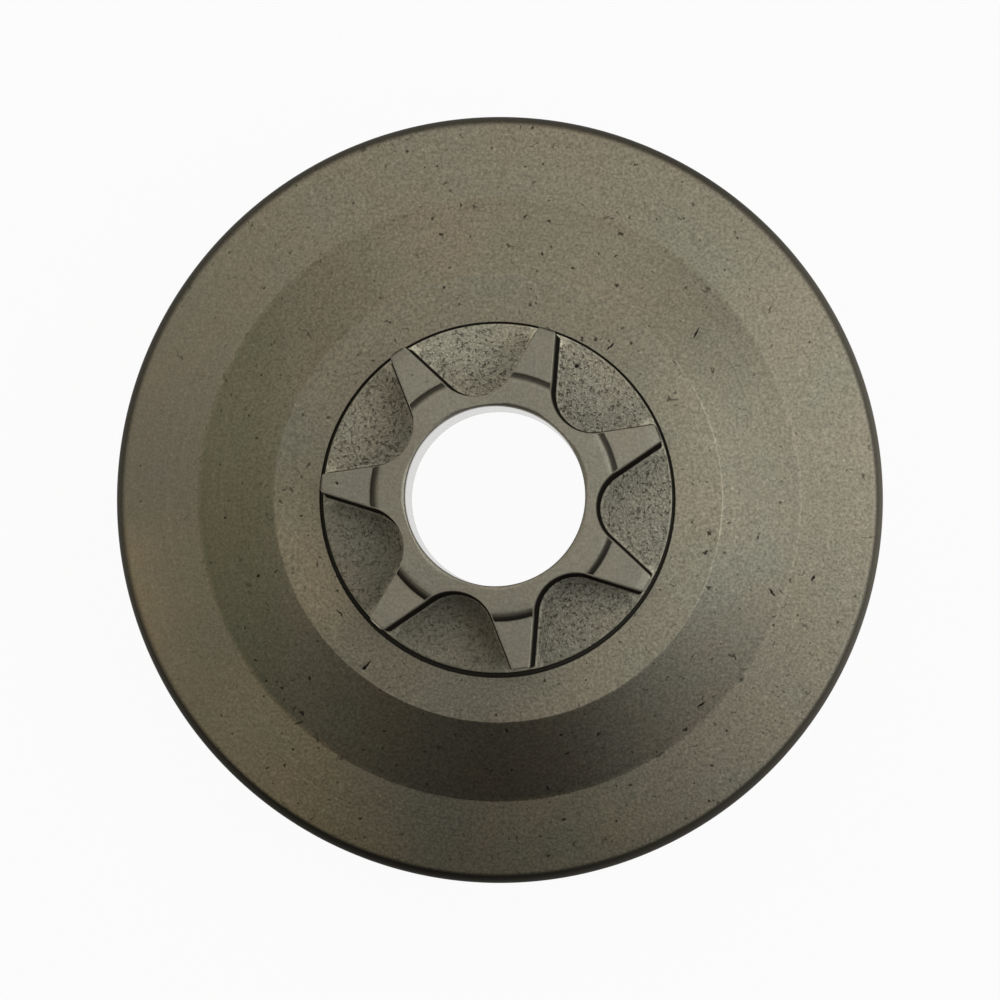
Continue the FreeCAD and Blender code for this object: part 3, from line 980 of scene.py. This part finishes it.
def sintered_steel(settings):
    """Sintered steel: ground tops with a fine grain, speckled floors, dark flanks and a polished bore.

    Ground and grainy colours, with painted light and shade on the tooth ends, painted light on the top
    pockets and in front of the tips and painted shade in the lower left pockets, are worked out apart and
    blended by the pocket zone. Painted shade on the hub's step and knocks, the dark skin of the flanks and
    the bore are laid over them.
    """
    finish = SteelFinish("sintered_steel")
    broad = finish.noise(GROUND_PATCHES)
    fine = finish.noise(SINTER_GRAIN)
    pocket = finish.zone("pocket")
    bore = finish.zone("bore")

    # Painted light on the lower tooth ends and painted shade on the upper ones
    tip_painted_light = finish.times(finish.zone("tip"), finish.ramp(finish.up, *TIP_PAINTED_LIGHT))
    even = finish.times(finish.ramp(broad, *PATCH_SHADE), finish.ramp(fine, *GROUND_SHADE))
    ground = finish.brighten(tuple(settings.ground), finish.times(even, finish.plus(tip_painted_light, 1.0)))

    # Painted shade in the pockets on the lower left side, with fewer dark hollows there
    film = finish.ramp(finish.towards(*POCKET_SHADE_SIDE), *POCKET_SHADE_EDGE)
    grains = finish.brighten(tuple(settings.sintered), finish.ramp(fine, *SINTER_SHADE))
    hollow = finish.ramp(finish.noise(SINTER_HOLLOWS), *HOLLOW_EDGE)
    hollow = finish.times(hollow, finish.ramp(film, *HOLLOW_POCKET_SHADE))
    grains = finish.blend(hollow, grains, opaque(settings.speck))
    # Painted light on the top pockets, and painted highlight in front of the tips
    painted_light = finish.ramp(finish.minus(finish.up, finish.beside(TOP_LIGHT_SPREAD)), *TOP_POCKET_LIGHT)
    painted_light = finish.times(painted_light, finish.ramp(finish.zone("corner_highlight"), *CORNER_HIGHLIGHT_SHADE))
    grains = finish.brighten(grains, painted_light)
    # The painted shade darkens the lower left pockets
    grains = finish.blend(finish.times(film, POCKET_SHADE_STRENGTH), grains, opaque(settings.film))

    colour = finish.blend(pocket, ground, grains)
    colour = finish.brighten(colour, finish.tinge(SPROCKET_HUES, COOL_TINGE, WARM_TINGE))
    knocks = finish.spots(finish.ragged(SPROCKET_RAGGED, SPROCKET_RAGGED_REACH), SPROCKET_MARKS)
    # Painted shade on the hub's step, and dark knocks
    step_shade_and_knocks = finish.larger(finish.zone("step"), knocks)
    colour = finish.blend(step_shade_and_knocks, colour, opaque(settings.step_shade_and_knocks))
    flank = finish.larger(finish.zone("flank"), finish.zone("seam"))
    colour = finish.blend(flank, colour, opaque(settings.flank))
    colour = finish.blend(bore, colour, opaque(settings.polished))

    relief = finish.times(finish.minus(fine, hollow), finish.ramp(pocket, *POCKET_RELIEF))
    rough = finish.minus(finish.ramp(pocket, *POCKET_ROUGHNESS), finish.times(bore, BORE_POLISH))
    metal = finish.minus(1.0, finish.larger(flank, step_shade_and_knocks))
    return finish.done(
        Base_Color=colour, Metallic=metal, Roughness=rough,
        Normal=finish.bump(relief, SPROCKET_RELIEF), Specular_IOR_Level=0.0)


# Stage

WHITE = (1.0, 1.0, 1.0)
FLOOR_DROP = 0.02 * MM
FLOOR_INNER = 50.0 * MM
FLOOR_MIDDLE_SHARE = 0.5
FLOOR_STEPS_AROUND = 96
COVE_POINTS = 13
CAMERA_SHIFT = (0.00222, -0.00173)
CAMERA_NEAR = 10.0 * MM
CAMERA_UP = (0.0, 1.0, 0.0)
LAMP_UP = (-0.3, 1.0, 0.1)
# Soft lamps: direction in degrees, height in degrees, distance and size in metres, power in watts, colour
LAMPS = [
    ("overhead", 90.0, 80.0, 0.8, 0.4, 0.38, (1.0, 0.99, 0.97)),
    ("right", 0.0, 58.0, 0.4, 0.26, 0.335, (0.96, 0.98, 1.0)),
    ("top_right", 45.0, 46.0, 0.4, 0.26, 0.115, (1.0, 0.98, 0.93)),
    ("top", 90.0, 46.0, 0.4, 0.26, 0.15, (1.0, 0.95, 0.87)),
    ("top_left", 135.0, 46.0, 0.4, 0.26, 0.09, (1.0, 0.96, 0.88)),
    ("left_high", 180.0, 58.0, 0.4, 0.26, 0.045, (1.0, 0.94, 0.82)),
    ("left", 180.0, 46.0, 0.4, 0.26, 0.05, (1.0, 0.94, 0.82)),
    ("low_left", 225.0, 18.0, 0.4, 0.26, 0.125, (1.0, 0.93, 0.8)),
    ("low_right", 315.0, 32.0, 0.4, 0.26, 0.073, (0.97, 0.98, 1.0)),
]


def pale_floor(settings):
    """A pale floor that keeps shadows; straight looks and reflections see it nearly white."""
    finish = Finish("pale_floor")
    path = finish.node("ShaderNodeLightPath").outputs
    seen = finish.larger(path["Is Camera Ray"], path["Is Glossy Ray"])
    seen = finish.larger(seen, path["Is Transmission Ray"])
    matt = finish.node("ShaderNodeBsdfDiffuse", {"Color": opaque(settings.floor_tint)}).outputs[0]
    white = finish.node("ShaderNodeEmission", {"Color": opaque(WHITE), "Strength": 1.0}).outputs[0]
    amount = finish.times(seen, settings.floor_glow)
    mixed = finish.node("ShaderNodeMixShader", {0: amount, 1: matt, 2: white}).outputs[0]
    finish.node("ShaderNodeOutputMaterial", {"Surface": mixed})
    return finish.material


def floor_mesh(settings):
    """A round flat floor whose outer edge curves up as a quarter of a circle.

    On the curve, radius = floor radius + cove * sin(bend) and height = cove * (1 - cos(bend)).
    """
    angles = np.arange(FLOOR_STEPS_AROUND) * 2 * np.pi / FLOOR_STEPS_AROUND
    bend = np.linspace(0, np.pi / 2, COVE_POINTS)
    flat = [FLOOR_INNER, FLOOR_MIDDLE_SHARE * settings.floor_radius]
    radius = np.concatenate([flat, settings.floor_radius + settings.cove * np.sin(bend)])
    height = np.concatenate([np.zeros(len(flat)), settings.cove * (1 - np.cos(bend))]) - FLOOR_DROP
    rings = around(np.stack([radius, height], axis=1), angles)
    columns, rows = rings.shape[:2]
    index = np.arange(columns * rows).reshape(columns, rows)
    next_row = np.roll(index, -1, axis=1)
    quads = np.stack([index[:-1], index[1:], next_row[1:], next_row[:-1]], axis=-1).reshape(-1, 4)
    mesh = bpy.data.meshes.new("floor")
    mesh.from_pydata(rings.reshape(-1, 3), [], quads.tolist() + [index[0].tolist()])
    mesh.shade_smooth()
    return mesh


def arrow(heading, height):
    """A direction of length 1, from its heading about the axis and its height above the floor."""
    return Vector((
        math.cos(height) * math.cos(heading), math.cos(height) * math.sin(heading), math.sin(height)))


def stand(data, position, target, up):
    """Puts a lamp or a camera at position, facing the target, with up upwards in its view."""
    back = (position - target).normalized()
    right = Vector(up).cross(back).normalized()
    facing = Matrix((right, back.cross(right), back)).transposed().to_4x4()
    holder = bpy.data.objects.new(data.name, data)
    holder.matrix_world = Matrix.Translation(position) @ facing
    bpy.context.scene.collection.objects.link(holder)
    return holder


def add_lamp(name, heading, height, distance, size, power, colour, target):
    """A square soft lamp on a ball around the target, facing it."""
    lamp = bpy.data.lights.new(name, "AREA")
    lamp.size = size
    lamp.energy = power
    lamp.color = colour
    position = target + distance * arrow(math.radians(heading), math.radians(height))
    stand(lamp, position, target, LAMP_UP).visible_camera = False


def add_camera(settings, target):
    """A camera that looks down on the target, leaning a little to one side."""
    camera = bpy.data.cameras.new("camera")
    camera.lens = settings.lens
    camera.shift_x, camera.shift_y = CAMERA_SHIFT
    camera.clip_start = CAMERA_NEAR
    position = target + settings.distance * arrow(settings.heading, math.pi / 2 - settings.tilt)
    return stand(camera, position, target, CAMERA_UP)


# Operators

class AddClutchDrum(Operator):
    """Add the turned cup"""
    bl_idname = "clutch_drum.add_drum"
    bl_label = "Clutch drum"

    def execute(self, context):
        settings = context.scene.clutch_drum
        points, zones = drum_surface(settings)
        mesh = closed_mesh("drum_turned", points, zones)
        add_piece(mesh, "clutch_drum", turned_steel(settings))
        return {"FINISHED"}


class AddSpurSprocket(Operator):
    """Add the star of teeth with its hub, disc and flange"""
    bl_idname = "clutch_drum.add_sprocket"
    bl_label = "Spur sprocket"

    def execute(self, context):
        settings = context.scene.spur_sprocket
        points, zones = sprocket_surface(settings)
        mesh = closed_mesh("sprocket_sintered", points, zones)
        add_piece(mesh, "spur_sprocket", sintered_steel(settings))
        return {"FINISHED"}


class AddStage(Operator):
    """Add the floor, the lamps and the camera"""
    bl_idname = "clutch_drum.add_stage"
    bl_label = "Stage"

    def execute(self, context):
        scene = context.scene
        settings = scene.clutch_drum_stage
        floor = bpy.data.objects.new("floor", floor_mesh(settings))
        floor.data.materials.append(pale_floor(settings))
        scene.collection.objects.link(floor)
        scene.world = bpy.data.worlds.new("room")
        scene.world.use_nodes = True
        background = scene.world.node_tree.nodes["Background"]
        background.inputs["Color"].default_value = opaque(settings.room)
        target = Vector((0.0, 0.0, scene.clutch_drum.land_z))
        for lamp in LAMPS:
            add_lamp(*lamp, target)
        scene.camera = add_camera(settings, target)
        scene.view_settings.view_transform = "Standard"
        return {"FINISHED"}


class ClutchDrumPanel(Panel):
    """Settings and build buttons in the sidebar"""
    bl_idname = "VIEW3D_PT_clutch_drum"
    bl_label = "Clutch drum"
    bl_space_type = "VIEW_3D"
    bl_region_type = "UI"
    bl_category = "Clutch drum"

    def draw(self, context):
        groups = (
            (AddClutchDrum, context.scene.clutch_drum),
            (AddSpurSprocket, context.scene.spur_sprocket),
            (AddStage, context.scene.clutch_drum_stage),
        )
        for operator, settings in groups:
            box = self.layout.box()
            box.operator(operator.bl_idname)
            for name in settings.__annotations__:
                box.prop(settings, name)


CLASSES = (
    DrumSettings, SprocketSettings, StageSettings,
    AddClutchDrum, AddSpurSprocket, AddStage, ClutchDrumPanel)


def register():
    for entry in CLASSES:
        bpy.utils.register_class(entry)
    bpy.types.Scene.clutch_drum = PointerProperty(type=DrumSettings)
    bpy.types.Scene.spur_sprocket = PointerProperty(type=SprocketSettings)
    bpy.types.Scene.clutch_drum_stage = PointerProperty(type=StageSettings)


def unregister():
    del bpy.types.Scene.clutch_drum_stage
    del bpy.types.Scene.spur_sprocket
    del bpy.types.Scene.clutch_drum
    for entry in reversed(CLASSES):
        bpy.utils.unregister_class(entry)


def main():
    register()
    bpy.ops.clutch_drum.add_drum()
    bpy.ops.clutch_drum.add_sprocket()
    bpy.ops.clutch_drum.add_stage()


if __name__ == "__main__":
    main()
